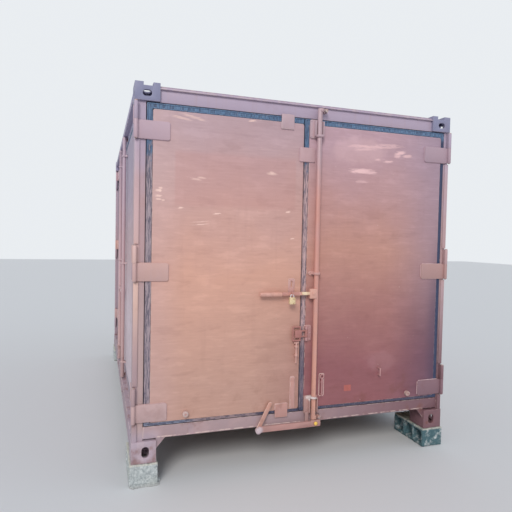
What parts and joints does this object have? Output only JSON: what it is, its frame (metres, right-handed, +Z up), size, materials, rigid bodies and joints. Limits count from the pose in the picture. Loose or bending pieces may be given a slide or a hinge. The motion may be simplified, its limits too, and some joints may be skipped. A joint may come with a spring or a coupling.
{
  "type": "freight container on concrete blocks",
  "caption": "Small steel freight container with hinged doors in one end and one side, lock rods and handles, standing on hollow concrete blocks.",
  "frame": {"origin": "bottom centre of the overall box, on the ground", "axes": "+Z up, -Y towards the viewer of the end doors, -X the side with doors"},
  "size_m": [2.478, 3.786, 2.65],
  "materials": {
    "faded_paint": "sun-faded red-brown gloss paint with chips and scrapes",
    "light_paint": "bleached salmon paint, chalky",
    "dark_paint": "darker red-brown paint, chalky",
    "seal_rubber": "weathered rubber with flaked paint",
    "bare_steel": "worn steel with paint remains",
    "lock_brass": "dull brass",
    "concrete": null,
    "floor_timber": "worn floor boards"
  },
  "bodies": {
    "frame": {"stand_blocks": "concrete", "bottom_fittings": "faded_paint", "top_fittings": "faded_paint", "front_left_post": "faded_paint", "front_right_post": "faded_paint", "rear_left_post": "faded_paint", "rear_right_post": "faded_paint", "end_header": "faded_paint", "header_lip": "faded_paint", "end_sill": "faded_paint", "rear_header": "faded_paint", "rear_sill": "faded_paint", "left_top_rail": "faded_paint", "left_lintel": "faded_paint", "right_top_rail": "faded_paint", "left_bottom_rail": "faded_paint", "right_bottom_rail": "faded_paint", "fork_tunnels": "dark_paint", "cross_members": "dark_paint", "floor": "floor_timber", "roof": "faded_paint", "right_wall": "faded_paint", "rear_wall": "faded_paint", "post_knuckles": "faded_paint", "hinge_pins": "bare_steel", "lock_keepers": "bare_steel"},
    "left_end_door": {"left_end_leaf": "light_paint", "left_end_seal": "seal_rubber", "left_end_straps": "faded_paint", "left_end_plates": "light_paint", "drop_pin": "bare_steel"},
    "right_end_door": {"right_end_leaf": "dark_paint", "right_end_seal": "seal_rubber", "right_end_straps": "faded_paint", "end_rod_guides": "light_paint", "right_end_plates": "dark_paint", "bottom_bar": "light_paint"},
    "lever": {"bottom_lever": "light_paint"},
    "end_lock": {"end_lock_rod": "light_paint", "end_handle": "light_paint", "padlock": "lock_brass"},
    "latch": {"latch_flap": "faded_paint"},
    "near_side_door": {"near_side_leaf": "faded_paint", "near_side_seal": "seal_rubber", "near_side_straps": "faded_paint", "near_rod_guides": "light_paint"},
    "near_lock": {"near_lock_rod": "light_paint"},
    "far_side_door": {"far_side_leaf": "faded_paint", "far_side_seal": "seal_rubber", "far_side_straps": "faded_paint", "far_rod_guides": "light_paint"},
    "far_lock": {"far_lock_rod": "light_paint"}
  },
  "joints": [
    {"name": "right_end_hinge", "type": "hinge", "parent": "frame", "child": "right_end_door", "pos_m": [1.217, -1.842, 1.45], "axis": [0, 0, 1], "range_deg": [0, 260]},
    {"name": "left_end_hinge", "type": "hinge", "parent": "frame", "child": "left_end_door", "pos_m": [-1.217, -1.842, 1.45], "axis": [0, 0, -1], "range_deg": [0, 260]},
    {"name": "end_lock_turn", "type": "hinge", "parent": "right_end_door", "child": "end_lock", "pos_m": [0.071, -1.852, 1.263], "axis": [0, 0, -1], "range_deg": [-100, 0]},
    {"name": "latch_swing", "type": "hinge", "parent": "right_end_door", "child": "latch", "pos_m": [0.006, -1.84, 0.97], "axis": [0, 0, -1], "range_deg": [-95, 0]},
    {"name": "lever_swing", "type": "hinge", "parent": "right_end_door", "child": "lever", "pos_m": [-0.354, -1.84, 0.294], "axis": [0, -1, 0], "range_deg": [0, 110]},
    {"name": "near_side_hinge", "type": "hinge", "parent": "frame", "child": "near_side_door", "pos_m": [-1.214, -1.706, 1.45], "axis": [0, 0, -1], "range_deg": [-180, 0]},
    {"name": "far_side_hinge", "type": "hinge", "parent": "frame", "child": "far_side_door", "pos_m": [-1.214, 1.757, 1.45], "axis": [0, 0, 1], "range_deg": [-180, 0]},
    {"name": "near_lock_turn", "type": "hinge", "parent": "near_side_door", "child": "near_lock", "pos_m": [-1.216, -0.3395, 1.11], "axis": [0, 0, 1], "range_deg": [0, 100]},
    {"name": "far_lock_turn", "type": "hinge", "parent": "far_side_door", "child": "far_lock", "pos_m": [-1.216, 0.3905, 1.11], "axis": [0, 0, -1], "range_deg": [0, 100]}
  ],
  "couplings": [
    {"joint": "left_end_hinge", "follows": "right_end_hinge", "ratio": 1}
  ]
}
